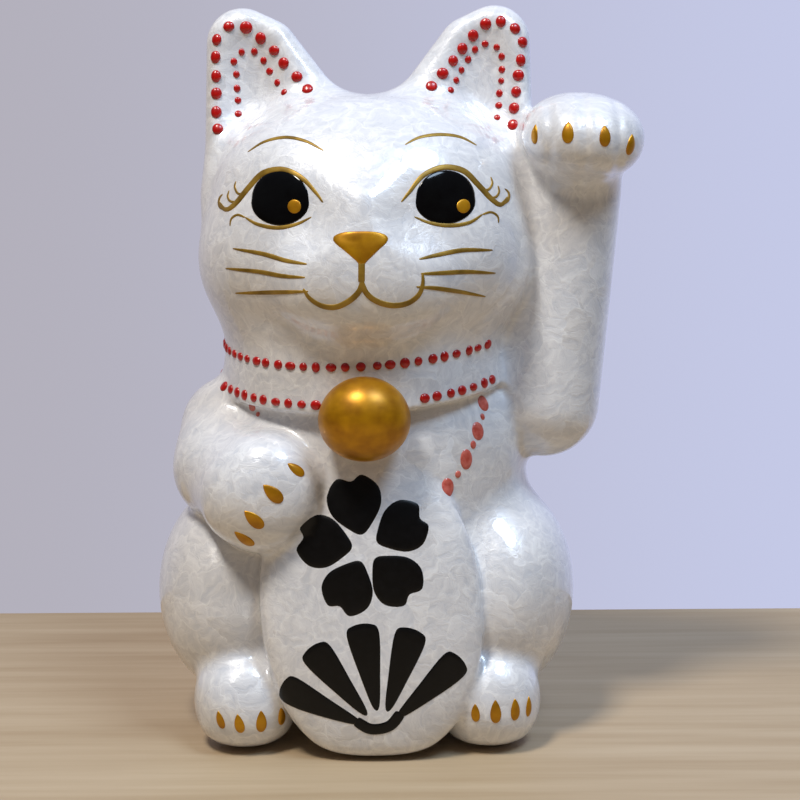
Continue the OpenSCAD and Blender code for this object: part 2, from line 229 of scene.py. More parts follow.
def raised_arm(p):
    d = limb(p, (52.4, -3, 96), (60.8, -2, 158), 16.6, 14.3)
    paw = cushion(p, (62.8, -12, 173.6), (17.4, 18, 12), 2.15, turned("X", 10) @ turned("Y", 5))
    front = np.clip((-p[..., 1] - 8) / 14, 0, 1)
    for x in TOE_GROOVES:
        paw = paw + GROOVE_DEPTH * front * np.exp(-(((p[..., 0] - x) / GROOVE_WIDTH) ** 2))
    return join(d, paw, 7)


def on_collar(p):
    """The point in the collar's own ring: across, front to back, and up."""
    q = (p - COLLAR_C) @ COLLAR_TURN.T
    return q[..., 0], q[..., 1] * COLLAR_DEPTH, q[..., 2]


def collar(p):
    x, y, z = on_collar(p)
    half, middle = (COLLAR_HIGH - COLLAR_LOW) / 2, (COLLAR_HIGH + COLLAR_LOW) / 2
    return carve(np.sqrt(x * x + y * y) - COLLAR_R + COLLAR_TAPER * z, half - np.abs(z - middle), 1.5)


def cylinder(p, radius, low, high):
    return np.maximum(np.hypot(p[..., 0], p[..., 1]) - radius, np.maximum(low - p[..., 2], p[..., 2] - high))


def parts(p):
    left = p[..., 0] > HEAD_X
    ear, foot = ears(p), feet(p)
    return {
        "head_cast": head(p),
        "left_ear": np.where(left, ear, FAR_AWAY),
        "right_ear": np.where(left, FAR_AWAY, ear),
        "torso_cast": trunk(p),
        "left_foot": np.where(left, foot, FAR_AWAY),
        "right_foot": np.where(left, FAR_AWAY, foot),
        "tail": tail(p),
        "tablet": tablet(p),
        "lowered_arm_cast": lowered_arm(p),
        "raised_arm_cast": raised_arm(p),
        "collar_band": collar(p),
    }


def figure(p):
    """The whole fired body, with its drain hole and the recess round it under the trunk."""
    f = parts(p)
    top = join(f["head_cast"], np.minimum(f["left_ear"], f["right_ear"]), 7)
    low = join(f["torso_cast"], np.minimum(f["left_foot"], f["right_foot"]), 4)
    low = join(low, f["tail"], 4)
    low = join(low, f["tablet"], 2.5)
    low = join(low, f["lowered_arm_cast"], 2.5)
    low = join(low, f["collar_band"], 3.5)
    d = join(join(top, low, 8), f["raised_arm_cast"], 3.5)
    d = carve(d, p[..., 2], 5)
    hole = np.minimum(cylinder(p, RECESS_R, -5, RECESS_TOP), cylinder(p, DRAIN_R, -5, DRAIN_TOP))
    return np.maximum(d, -hole)


print("clay parts:", ", ".join(parts(np.zeros((1, 3), np.float32))))

# %% [markdown]
# ## A skin over the clay
# The solid is sampled on a grid. Every grid cell that the surface crosses gets one point, and the points
# of neighbouring cells are joined with quads. Each point is then slid along the slope until it lies on
# the true surface, and the slope itself serves as the shading normal, so the glaze reads as one smooth
# skin at any distance.

# %% A skin over the clay
WORKERS = ThreadPoolExecutor(4)


def sample(field, p, size=40000):
    p = np.asarray(p, np.float32)
    runs = [p[i : i + size] for i in range(0, len(p), size)]
    return np.concatenate(list(WORKERS.map(field, runs)))


def slope(field, p, reach=0.12):
    steps = np.eye(3, dtype=np.float32) * reach
    return np.stack([sample(field, p + s) - sample(field, p - s) for s in steps], -1) / (2 * reach)


def settle(field, p, rounds=3, most=0.6):
    """Slides points on to the surface; returns them with their unit normals."""
    p = np.asarray(p, np.float32)
    for _ in range(rounds):
        g = slope(field, p)
        step = sample(field, p) / np.maximum((g * g).sum(-1), 0.05)
        p = p - np.clip(step, -most, most)[:, None] * g
    g = slope(field, p)
    return p, g / np.linalg.norm(g, axis=-1, keepdims=True)


def skin(field, low, high, step):
    low = np.asarray(low, float)
    count = np.ceil((np.asarray(high) - low) / step).astype(int) + 1
    axes = [low[i] + step * np.arange(count[i]) for i in range(3)]
    value = np.empty(count, np.float32)

    def fill(i):
        grid = np.stack(np.meshgrid(axes[0][i : i + 6], axes[1], axes[2], indexing="ij"), -1)
        value[i : i + 6] = field(grid.astype(np.float32).reshape(-1, 3)).reshape(grid.shape[:3])

    list(WORKERS.map(fill, range(0, count[0], 6)))
    inside = value < 0
    corners = np.array([(i, j, k) for i in (0, 1) for j in (0, 1) for k in (0, 1)])
    full = sum(inside[i : i + count[0] - 1, j : j + count[1] - 1, k : k + count[2] - 1].astype(np.int8)
               for i, j, k in corners)
    crossed = (full > 0) & (full < 8)
    cells = np.argwhere(crossed)
    number = np.full(crossed.shape, -1)
    number[crossed] = np.arange(len(cells))
    v = np.stack([value[tuple((cells + c).T)] for c in corners], 1)
    total, hits = np.zeros((len(cells), 3)), np.zeros(len(cells))
    for a in range(8):
        for b in range(a + 1, 8):
            if np.abs(corners[a] - corners[b]).sum() == 1:
                cross = (v[:, a] < 0) != (v[:, b] < 0)
                t = v[cross, a] / (v[cross, a] - v[cross, b])
                total[cross] += corners[a] + t[:, None] * (corners[b] - corners[a])
                hits[cross] += 1
    points = low + step * (cells + total / hits[:, None])
    quads = []
    for axis in range(3):
        u, w = np.eye(3, dtype=int)[(axis + 1) % 3], np.eye(3, dtype=int)[(axis + 2) % 3]
        start = inside[tuple(slice(0, n - (1 if k == axis else 0)) for k, n in enumerate(count))]
        end = inside[tuple(slice(1 if k == axis else 0, n) for k, n in enumerate(count))]
        at = np.argwhere(start != end)
        ring = np.stack([number[tuple((at - s).T)] for s in (u + w, w, 0 * u, u)], 1)
        out = start[tuple(at.T)]
        quads += [ring[out], ring[~out][:, ::-1]]
    return points, np.concatenate(quads)


GRID = 0.8
points, quads = skin(figure, (-66, -52, -3), (84, 52, 214), GRID)
points, normals = settle(figure, points, most=0.4 * GRID)
print(f"skin: {len(points)} points, {len(quads)} quads at {GRID} mm")

# %% [markdown]
# ## Parting the skin where the casts meet
# Every quad belongs to the part whose clay lies nearest. Lone quads are handed to their neighbours so
# that each seam is one clean line. A part becomes a closed shell by drawing a second skin 2.5 mm inside
# the first and joining the two along the seam, the way a slip-cast wall has an outside and an inside.

# %% Parting the skin
middles = points[quads].mean(1)
fields = parts(middles.astype(np.float32))
names = list(fields)
label = np.argmin(np.stack([fields[n] for n in names]), 0)


def next_to(quads):
    edge = np.sort(np.stack([quads, np.roll(quads, -1, 1)], -1).reshape(-1, 2), 1)
    key = edge[:, 0].astype(np.int64) * (quads.max() + 1) + edge[:, 1]
    order = np.argsort(key, kind="stable")
    same = key[order][1:] == key[order][:-1]
    other = np.full(len(key), -1)
    first, second = order[:-1][same], order[1:][same]
    other[first], other[second] = second // 4, first // 4
    return other.reshape(-1, 4)


beside = next_to(quads)
for _ in range(12):
    around = np.where(beside >= 0, label[beside], label[:, None])
    for k in range(len(names)):
        label = np.where((around == k).sum(1) >= 3, k, label)


def seam(k):
    """Edges of part k that lie on its border, each in the direction its own quad walks it."""
    mine = np.flatnonzero(label == k)
    border = (beside[mine] < 0) | (label[beside[mine]] != k)
    walk = np.stack([quads[mine], np.roll(quads[mine], -1, 1)], -1)
    return walk[border]


for _ in range(10):
    pinched = 0
    for k in range(len(names)):
        starts = seam(k)[:, 0]
        ids, times = np.unique(starts, return_counts=True)
        knots = ids[times > 1]
        pinched += len(knots)
        if len(knots):
            label[np.isin(quads, knots).any(1)] = k
    if not pinched:
        break
print("quads per part:", {n: int((label == k).sum()) for k, n in enumerate(names)}, "pinched", pinched)


def new_mesh(name, verts, faces, shade=None, sharp=None):
    """A mesh from millimetres about the figure's axis, placed in the frame in metres."""
    mesh = bpy.data.meshes.new(name)
    placed_verts = (np.asarray(verts, float) + FIGURE) * MM
    mesh.from_pydata(placed_verts.tolist(), [], [list(map(int, f)) for f in faces])
    mesh.validate()
    mesh.polygons.foreach_set("use_smooth", np.ones(len(mesh.polygons), bool))
    if sharp is not None:
        pair = np.zeros(len(mesh.edges) * 2, np.int64)
        mesh.edges.foreach_get("vertices", pair)
        pair = np.sort(pair.reshape(-1, 2), 1)
        wide = len(verts) + 1
        marked = np.isin(pair[:, 0] * wide + pair[:, 1], sharp[:, 0] * wide + sharp[:, 1])
        mesh.attributes.new("sharp_edge", "BOOLEAN", "EDGE").data.foreach_set("value", marked)
    if shade is not None:
        mesh.normals_split_custom_set_from_vertices(np.asarray(shade, float).tolist())
    piece = bpy.data.objects.new(name, mesh)
    bpy.context.scene.collection.objects.link(piece)
    return piece


def shell(name, k, thick=2.5):
    mine = quads[label == k]
    used, flat = np.unique(mine, return_inverse=True)
    faces = flat.reshape(-1, 4)
    outer, n = points[used], normals[used]
    a, b = np.searchsorted(used, seam(k)).T
    m = len(used)
    rim = np.stack([b, a, a + m, b + m], 1)
    return new_mesh(name, np.concatenate([outer, outer - thick * n]),
                    np.concatenate([faces, faces[:, ::-1] + m, rim]), np.concatenate([n, -n]))


casts = {n: shell(f"glazed_{n}", k) for k, n in enumerate(names)}
print("glazed pieces:", len(casts))

# %% [markdown]
# ## The bell
# A flattened clay ball, luted to the collar's front and painted all over with gold lustre. Its skin is
# drawn the same way. It is a little fuller below its middle, as a ball of soft clay settles.

# %% The bell
def bell(p):
    settled = np.clip((BELL_C[2] - p[..., 2]) / BELL_R[2], -1, 1)
    q = p.copy()
    q[..., 0] = (q[..., 0] - BELL_C[0]) * (1 - 0.025 * settled) + BELL_C[0]
    return ball(q, BELL_C, BELL_R)


bell_points, bell_quads = skin(bell, (-15, -56, 84), (17, -30, 112), 0.8)
bell_points, bell_normals = settle(bell, bell_points)
casts["bell"] = new_mesh("gilded_bell", bell_points, bell_quads, bell_normals)
print("bell:", len(bell_points), "points")

# %% [markdown]
# ## The stopper in the drain hole
# A cast figure needs a hole for the slip to drain out. A soft plug closes it: a thin flange that sits in
# the recess, a ribbed barrel that grips the hole, and a chamfered nose. It is turned from one profile.

# %% The stopper
def lathe(name, profile, segments=96):
    profile = np.asarray(profile, float)
    angle = np.linspace(0, 2 * math.pi, segments, endpoint=False)
    rows = [(r * np.cos(angle), r * np.sin(angle), np.full(segments, z)) for r, z in profile]
    verts = np.concatenate([np.stack(row, 1) for row in rows])
    verts = np.concatenate([verts, [[0, 0, profile[0][1]], [0, 0, profile[-1][1]]]])
    i = np.arange(segments)
    j = (i + 1) % segments
    faces = []
    for row in range(len(profile) - 1):
        low, high = row * segments, (row + 1) * segments
        faces += np.stack([low + i, low + j, high + j, high + i], 1).tolist()
    last, base, top = (len(profile) - 1) * segments, len(verts) - 2, len(verts) - 1
    faces += np.stack([np.full(segments, base), j, i], 1).tolist()
    faces += np.stack([np.full(segments, top), last + i, last + j], 1).tolist()
    piece = new_mesh(name, verts, faces)
    piece.data.shade_smooth()
    return piece


stopper_low, stopper_high = plug_low.z / MM, plug_high.z / MM
flange_top, barrel_r, rib_r = 1.9, 10.5, 10.9
ribs = []
for z in (3.2, 4.8, 6.4):
    ribs += [(barrel_r, z - 0.5), (rib_r, z - 0.15), (rib_r, z + 0.15), (barrel_r, z + 0.5)]
finger_dimple = [(4.2, stopper_low + 0.7), (5.0, stopper_low + 0.6), (5.6, stopper_low + 0.1)]
flange = [(13.6, stopper_low), (14.3, stopper_low + 0.25), (14.5, stopper_low + 0.7),
          (14.2, flange_top - 0.1), (13.8, flange_top), (barrel_r, flange_top)]
plug_end = [(barrel_r, stopper_high - 1.1), (9.8, stopper_high - 0.3), (9.2, stopper_high)]
profile = [*finger_dimple, *flange, *ribs, *plug_end]
stopper = lathe("stopper_plug", profile)
print("stopper:", len(stopper.data.vertices), "vertices")

# %% [markdown]
# ## Laying paint on the skin
# A patch of paint is a thin domed layer: its points are dropped on to the skin, lifted by the paint's
# height in the middle and sunk at the rim, with a flat underside just under the glaze. `from_front`
# drops an outline drawn as seen from the front; `at_spot` lays it in the plane that touches the skin,
# for dots and claws on curved places.

# %% Laying paint on the skin
HAND = np.random.default_rng(7)


def march(origin, direction, field=figure, far=95.0):
    """Walks from each origin along its direction until it meets the skin."""
    origin, direction = np.asarray(origin, np.float32), np.asarray(direction, np.float32)
    t, active = np.zeros(len(origin), np.float32), np.arange(len(origin))
    for _ in range(70):
        d = sample(field, origin[active] + t[active, None] * direction[active])
        t[active] += 0.85 * d
        active = active[(np.abs(d) > 0.01) & (t[active] < far)]
        if not len(active):
            break
    return origin + t[:, None] * direction


def between(a, b, c, d, t):
    """A smooth curve from knot b to knot c, which heads where its neighbours a and d say."""
    return 0.5 * (2 * b + (c - a) * t + (2 * a - 5 * b + 4 * c - d) * t**2 + (3 * b - a - 3 * c + d) * t**3)


def smooth_line(knots, gap=0.45):
    """A curve through the knots, with points about `gap` apart."""
    knots = np.asarray(knots, float)
    if len(knots) == 2:
        knots = np.stack([knots[0], knots.mean(0), knots[1]])
    ends = np.concatenate([[2 * knots[0] - knots[1]], knots, [2 * knots[-1] - knots[-2]]])
    line = []
    for a, b, c, d in zip(ends, ends[1:], ends[2:], ends[3:]):
        t = np.linspace(0, 1, max(int(np.linalg.norm(c - b) / gap), 2), endpoint=False)[:, None]
        line.append(between(a, b, c, d, t))
    return np.concatenate([*line, knots[-1:]])


def stroke(knots, width, height, power=2.0, heavy=0.5, tip=0.12):
    """A brush stroke: full where the brush was pressed, at `heavy` of its length, thin at both ends."""
    line = smooth_line(knots)
    run = np.concatenate([[0], np.cumsum(np.linalg.norm(np.diff(line, axis=0), axis=1))])
    t = run / run[-1]
    bend = math.log(0.5) / math.log(heavy)
    press = np.maximum(1 - np.abs(2 * t**bend - 1) ** power, 0) ** (1 / power)
    press = tip + (1 - tip) * press
    tangent = np.gradient(line, axis=0)
    tangent /= np.linalg.norm(tangent, axis=1, keepdims=True) + 1e-9
    side = np.stack([-tangent[:, 1], tangent[:, 0]], 1)
    across = np.array([-1, -0.82, -0.45, 0, 0.45, 0.82, 1])
    flat = line[:, None] + side[:, None] * (across[None, :, None] * (width / 2) * press[:, None, None])
    dome = height * np.sqrt(np.clip(1 - across**4, 0, 1))[None] * (0.35 + 0.65 * press[:, None])
    dome[0], dome[-1] = 0, 0
    n, m = flat.shape[:2]
    index = np.arange(n * m).reshape(n, m)
    faces = np.stack([index[:-1, :-1], index[:-1, 1:], index[1:, 1:], index[1:, :-1]], -1)
    faces = faces.reshape(-1, 4)
    rim = np.concatenate([index[0], index[1:, -1], index[-1, -2::-1], index[-2:0:-1, 0]])
    return flat.reshape(-1, 2), dome.reshape(-1), faces, rim


def dab(outline, height, centre=(0.0, 0.0), round_power=4.0, rings=(0.4, 0.7, 0.87, 0.96, 1.0)):
    """A patch with any outline that its middle can see all of."""
    outline = np.asarray(outline, float)
    middle = np.asarray(centre, float)
    n = len(outline)
    flat = np.concatenate([[middle], *[middle + f * (outline - middle) for f in rings]])
    lifts = [height * max(1 - f**round_power, 0) ** 0.5 for f in rings]
    dome = np.concatenate([[height], *[np.full(n, lift) for lift in lifts]])
    i, j = np.arange(n), (np.arange(n) + 1) % n
    faces = [(0, 1 + b, 1 + a) for a, b in zip(i, j)]
    for r in range(len(rings) - 1):
        s, e = 1 + r * n, 1 + (r + 1) * n
        faces += [(s + a, s + b, e + b, e + a) for a, b in zip(i, j)]
    return flat, dome, faces, (1 + (len(rings) - 1) * n + i)[::-1]


def closed_outline(knots, per_side=5):
    knots = np.asarray(knots, float)
    n = len(knots)
    t = np.linspace(0, 1, per_side, endpoint=False)[:, None]
    sides = [between(knots[k - 1], knots[k], knots[(k + 1) % n], knots[(k + 2) % n], t) for k in range(n)]
    return np.concatenate(sides)


def oval(width, height, flat_below=0.0, points_round=40):
    a = np.linspace(0, 2 * math.pi, points_round, endpoint=False)
    x, z = np.cos(a), np.sin(a)
    low = np.clip(-z, 0, 1)
    widen = 1 + flat_below * low * (1 - low) * 1.6
    flatten = np.where(z < 0, 1 - 0.35 * flat_below * low**2, 1)
    return np.stack([x * width / 2 * widen, z * height / 2 * flatten], 1)


def teardrop(width, height, turn=0.0, points_round=28):
    a = np.linspace(0, 2 * math.pi, points_round, endpoint=False)
    x, z = width / 1.68 * np.sin(a) * np.abs(np.sin(a / 2)) ** 0.6, height / 2 * np.cos(a)
    c, s = math.cos(math.radians(turn)), math.sin(math.radians(turn))
    return np.stack([x * c - z * s, x * s + z * c], 1)


FRONT_Y = -80.0


def look_in(places):
    """Starts and directions of rays that go straight back from in front of the figure."""
    places = np.asarray(places, float)
    eye = np.column_stack([places[:, 0], np.full(len(places), FRONT_Y), places[:, 1]])
    return eye, np.tile([0.0, 1.0, 0.0], (len(places), 1))


class Layer:
    """All the patches of one painted piece."""

    def __init__(self, name):
        self.name, self.count = name, 0
        self.verts, self.faces, self.sharp = [], [], []

    def add(self, where, n, dome, faces, rim, lift=0.0, sunk=0.06, under=0.22):
        top = where + n * (np.where(np.isin(np.arange(len(dome)), rim), -sunk, dome) + lift)[:, None]
        low = where - n * under
        k, m = self.count, len(where)
        rim = np.asarray(rim)
        on = np.roll(rim, -1)
        self.verts += [top, low]
        self.faces += [tuple(k + v for v in f) for f in faces]
        self.faces += [tuple(k + m + v for v in reversed(f)) for f in faces]
        self.faces += [(k + b, k + a, k + m + a, k + m + b) for a, b in zip(rim, on)]
        self.sharp += [np.sort(np.stack([k + rim, k + on], 1), 1)]
        self.count += 2 * m
        return self

    def from_front(self, patch, **how):
        flat, dome, faces, rim = patch
        where, n = settle(figure, march(*look_in(flat)), rounds=1)
        return self.add(where, n, dome, faces, rim, **how)

    def at_spot(self, spot, n, patch, **how):
        flat, dome, faces, rim = patch
        right = np.cross((0, 0, 1), n)
        right /= np.linalg.norm(right)
        up = np.cross(n, right)
        where, normal = settle(figure, spot + flat[:, :1] * right + flat[:, 1:] * up, rounds=3, most=1.5)
        return self.add(where, normal, dome, faces, rim, **how)

    def build(self):
        verts, sharp = np.concatenate(self.verts), np.concatenate(self.sharp)
        self.piece = new_mesh(self.name, verts, self.faces, sharp=sharp)
        return self.piece


def spots_from_front(places):
    return settle(figure, march(*look_in(places)), rounds=2)


paint = {}
print("paint tools ready")

# %% [markdown]
# ## The face
# The eyes are thick black enamel, slightly flat along the lower lid, each with a gold dot for the glint.
# A gold line is brushed round them: the upper lid runs out into a curled lash with two small hairs above
# it, the lower lid ends in a small hook. Both sides were painted freehand, so the right one mirrors the
# left one only roughly.

# %% The face
def mirrored(knots, side, shake=0.0):
    knots = np.array(knots, float)
    if side < 0:
        droop = np.clip((knots[:, 0] - 32) / 7, 0, 1) * (knots[:, 1] > 154)
        knots += droop[:, None] * (0.6, -0.8)
        knots = np.column_stack([2 * HEAD_X - knots[:, 0], knots[:, 1]])
    return knots + HAND.normal(0, shake, knots.shape)


LID = [(11.2, 156.4), (13.6, 159.2), (17.2, 163.2), (22.6, 165.5), (28.2, 164.4), (32.4, 160.6),
       (36.2, 156.4), (39, 155), (41.3, 157.2)]
CORNER = [(39, 155), (41, 155.9), (41.2, 158), (40, 159.4)]
HAIRS = ([(35.6, 156.8), (37.6, 157.2), (38.4, 158.6), (37.9, 160.4)],
         [(33.4, 159.2), (35.3, 159.2), (36.4, 160.8), (36, 162.8)])
LOWER = [(14.4, 152.7), (18.6, 150.8), (24, 149.7), (29.5, 150.6), (33.6, 152.6)]
HOOK = [(33.2, 152.4), (35.8, 153), (37.6, 151.9), (38, 149.8)]
EYES, EYE_H = {1: (23.3, 157.3, 14.8), -1: (23.4, 157.5, 15.1)}, 0.34
GLINTS = {1: (28.0, 154.9), -1: (-17.6, 155.4)}
BROWS = {1: [(12.2, 171.6), (16.4, 173.6), (22, 174.3), (27.6, 173.6), (32.4, 171.2)],
         -1: [(-9.6, 170.2), (-14.6, 172.8), (-20.4, 174), (-26.6, 172.9), (-31.8, 170)]}
SIDES = {"left": 1, "right": -1}

for side, s in SIDES.items():
    eye = oval(16.2, EYES[s][2], flat_below=0.14)
    eye[:, 0] *= s
    eye = eye[::s] + mirrored([EYES[s][:2]], s)[0]
    paint[f"{side}_eye"] = Layer(f"enamel_{side}_eye").from_front(
        dab(eye, EYE_H, eye.mean(0), 8.0, (0.3, 0.55, 0.75, 0.88, 0.95, 0.99, 1.0)))
    paint[f"{side}_eye_glint"] = Layer(f"gilded_{side}_eye_glint").from_front(
        dab(oval(3.8, 3.8, points_round=24) + GLINTS[s], 0.22, GLINTS[s]), lift=EYE_H - 0.03, under=0.05)
    liner = Layer(f"gold_{side}_eye_liner")
    liner.from_front(stroke(mirrored(LID, s, 0.1), 1.7, 0.2, 2.6, 0.6))
    liner.from_front(stroke(mirrored(CORNER, s, 0.05), 0.8, 0.16, 2.0, 0.4))
    for hair in HAIRS:
        liner.from_front(stroke(mirrored(hair, s, 0.08), 0.75, 0.15, 2.0, 0.35))
    liner.from_front(stroke(mirrored(LOWER, s, 0.1), 1.15, 0.16, 2.0, 0.55))
    liner.from_front(stroke(mirrored(HOOK, s, 0.08), 0.7, 0.14, 2.0, 0.4))
    paint[f"{side}_eye_liner"] = liner
    paint[f"{side}_brow"] = Layer(f"gold_{side}_brow").from_front(stroke(BROWS[s], 0.95, 0.16, 1.8, 0.45))

NOSE = [(0.4, 149.1), (4.4, 148.9), (7.2, 148), (7.7, 146.4), (5.2, 144), (2.6, 141.6), (0.7, 140),
        (-1.1, 141.6), (-3.9, 144), (-6.7, 146.3), (-6.6, 147.9), (-3.8, 148.9)]
paint["nose"] = Layer("gilded_nose").from_front(dab(closed_outline(NOSE), 0.32, (0.4, 146), 6.0))
mouth = Layer("gold_mouth_line")
mouth.from_front(stroke([(0.7, 141.2), (0.65, 138), (0.6, 135.4)], 1.9, 0.2, 5.0, 0.35, 0.5))
mouth.from_front(stroke([(0.9, 136.6), (0, 133.4), (-2.6, 130.8), (-6.4, 129), (-10.2, 129.3), (-13.4, 131.3),
                         (-15.2, 134)], 1.7, 0.22, 2.4, 0.36))
mouth.from_front(stroke([(0.4, 136.6), (1.7, 133), (4.4, 130.6), (8.6, 129.3), (12.8, 129.8), (15.8, 132),
                         (16.9, 135), (16.8, 137.8)], 1.7, 0.22, 2.4, 0.34))
paint["mouth_line"] = mouth
WHISKERS = {1: [[(15.8, 141.4), (21, 142.3), (28, 143.2), (36.4, 142.8)],
                [(16.2, 137.6), (22, 137.5), (29, 137.3), (37.2, 136.4)],
                [(15, 134.2), (21, 133.4), (27.4, 131.8), (34.4, 129.9)]],
            -1: [[(-13.8, 140.4), (-20, 141.2), (-27, 142.8), (-35.6, 143.9)],
                 [(-14.4, 136.9), (-21, 137.1), (-28.6, 137.9), (-38, 138.3)],
                 [(-13.6, 133.2), (-20.4, 132.7), (-27.6, 132), (-35.4, 131.4)]]}
for side, s in SIDES.items():
    layer = Layer(f"gold_{side}_whiskers")
    for hair in WHISKERS[s]:
        layer.from_front(stroke(hair, 1.35, 0.2, 1.7, 0.46))
    paint[f"{side}_whiskers"] = layer
print("face:", sorted(paint))

# %% [markdown]
# ## Claws
# Four gold teardrops on each paw, pointed away from the toe. They follow the round of the paw, so each
# is laid in the plane that touches its spot.

# %% Claws
# Each claw: across, up, width, length, lean in degrees
CLAWS = {
    "raised_paw_claws": [(48.3, 174.2, 2.9, 5.7, 3), (57, 174.6, 3.4, 6.4, 0),
                         (67.2, 173.5, 3.3, 6.3, -3), (74.9, 171, 3.4, 6.2, -8)],
    "lowered_paw_claws": [(-18.3, 84.1, 2.9, 5.8, 48), (-24.5, 78.1, 3.7, 7.2, 46),
                          (-29.9, 70.8, 3.7, 7.2, 44), (-33, 64.7, 3.6, 7, 42)],
    "left_foot_claws": [(30.7, 13.5, 2.6, 5.4, 2), (36.4, 14, 3.2, 7, 1), (42, 14, 3, 6.6, 0),
                        (46, 13.8, 2.4, 6, -4)],
    "right_foot_claws": [(-41.4, 11.6, 2.6, 5.6, 12), (-35.9, 10.8, 2.9, 6.2, 8), (-29.7, 11, 3.2, 7, 2),
                         (-24.3, 11.2, 2.8, 5.8, 10)],
}
for node, claws in CLAWS.items():
    layer = Layer("gilded_" + node)
    where, n = spots_from_front([(x, z) for x, z, *_ in claws])
    for spot, normal, (_, _, width, height, turn) in zip(where, n, claws):
        layer.at_spot(spot, normal, dab(teardrop(width, height, turn)[::-1], 0.42, round_power=2.6))
    paint[node] = layer
print("claws:", len(CLAWS), "paws")

# %% [markdown]
# ## Beads of enamel
# Red enamel is dropped from a slip trailer, so each dot is a dome with its own size. Two rows line each
# ear: up one side, round the tip, down the other. Two rows ring the collar. Coral beads, large and small
# by turns, hang from the collar's left; only two show on the right.

# %% Beads of enamel
def bead(width, height, dome, shake=0.06):
    width, height = width * (1 + HAND.normal(0, shake)), height * (1 + HAND.normal(0, shake))
    return dab(oval(width, height, points_round=20), dome, round_power=2.2, rings=(0.45, 0.75, 0.92, 1.0))


def along_arch(count, centre, radius, first, last, start=4, stop=141):
    a = np.radians(np.linspace(start, stop, 40))
    arch = np.array(centre) + radius * np.stack([np.cos(a), np.sin(a)], 1)
    line = np.concatenate([[first], arch, [last]])
    run = np.concatenate([[0], np.cumsum(np.linalg.norm(np.diff(line, axis=0), axis=1))])
    s = np.linspace(0, run[-1], count)
    return np.stack([np.interp(s, run, line[:, 0]), np.interp(s, run, line[:, 1])], 1)


# Each row: how many dots, its arch's centre and radius, and where its two sides end
OUTER = {1: (14, (38.9, 199.4), 7.4, (43.5, 177), (20, 188.3)),
         -1: (13, (37.5, 199.5), 6.9, (43.7, 176.7), (17.3, 187.8))}
INNER = {1: (13, (36, 195.6), 4.6, (39, 179.3), (25.2, 186.9)),
         -1: (11, (34.7, 194.9), 4.3, (37.8, 181), (24.5, 186.8))}
for side, s in SIDES.items():
    for row, (count, *arch), size in (("outer", OUTER[s], 3.4), ("inner", INNER[s], 2.15)):
        places = along_arch(count, *arch) + HAND.normal(0, 0.16, (count, 2))
        places[:, 0] = HEAD_X + s * (places[:, 0] - HEAD_X)
        layer = Layer(f"enamel_{side}_ear_{row}_dots")
        for spot, normal in zip(*spots_from_front(places)):
            layer.at_spot(spot, normal, bead(size, size, 0.24 * size), sunk=0.05)
        paint[f"{side}_ear_{row}_dots"] = layer


AROUND = 58


def round_collar(level, count=62):
    a = np.radians(-90) + np.arange(count) * 2 * math.pi / count + HAND.normal(0, 0.006, count)
    ring = np.stack([np.cos(a), np.sin(a) / COLLAR_DEPTH, np.zeros(count)], 1)
    centre = COLLAR_C + np.array([0, 0, level]) @ COLLAR_TURN
    outward = ring @ COLLAR_TURN
    return centre + outward * AROUND, -outward / np.linalg.norm(outward, axis=1, keepdims=True)


for row, level in (("upper", 7.6), ("lower", -2.7)):
    origin, inward = round_collar(level)
    where, n = settle(figure, march(origin, inward, far=30), rounds=2)
    # Dots keep to the band, and off the bell and the arms
    on_band = (np.abs(sample(collar, where)) < 2.4) & (sample(bell, where) > 1.4)
    on_band &= (sample(lowered_arm, where) > 0.6) & (sample(raised_arm, where) > 1.5)
    on_band &= (where[:, 0] < 37.6) | (where[:, 1] > 14)
    layer = Layer(f"enamel_collar_{row}_dots")
    for spot, normal in zip(where[on_band], n[on_band]):
        layer.at_spot(spot, normal, bead(2.9, 2.7, 0.7, 0.1), sunk=0.05)
    paint[f"collar_{row}_dots"] = layer
    print(row, "row on the collar:", int(on_band.sum()), "dots")

# Each bead: across, up, width, height
BEADS = {"left": [(33.9, 98.4, 3.8, 5), (33.6, 94.9, 1.5, 2), (32.2, 91.2, 4, 5.6), (30.8, 87.6, 2, 2.4),
                  (28.8, 83.7, 4.2, 5.8), (26.4, 79.7, 1.9, 2.2), (23.4, 76.3, 4.2, 5.6)],
         "right": [(-32.2, 97.9, 2.9, 2.7), (-30.4, 96.2, 1.5, 1.4)]}
for side, beads in BEADS.items():
    layer = Layer(f"enamel_{side}_chest_beads")
    where, n = spots_from_front([(x, z) for x, z, *_ in beads])
    for spot, normal, (_, _, width, height) in zip(where, n, beads):
        layer.at_spot(spot, normal, bead(width, height, 0.4, 0.04))
    paint[f"{side}_chest_beads"] = layer

# %% [markdown]
# ## The tablet's ornament
# Bold black brushwork: a plum blossom over a folding fan, both signs of good luck. Each petal and blade
# is one press of a broad brush, and one short stroke ties the blades at the fan's pivot.

# %% The tablet's ornament
ORNAMENT_TURN = 10


def placed(knots, centre, turn, size=1.0):
    c, s = math.cos(math.radians(turn)), math.sin(math.radians(turn))
    return np.asarray(knots, float) * size @ np.array([[c, s], [-s, c]]) + np.asarray(centre, float)


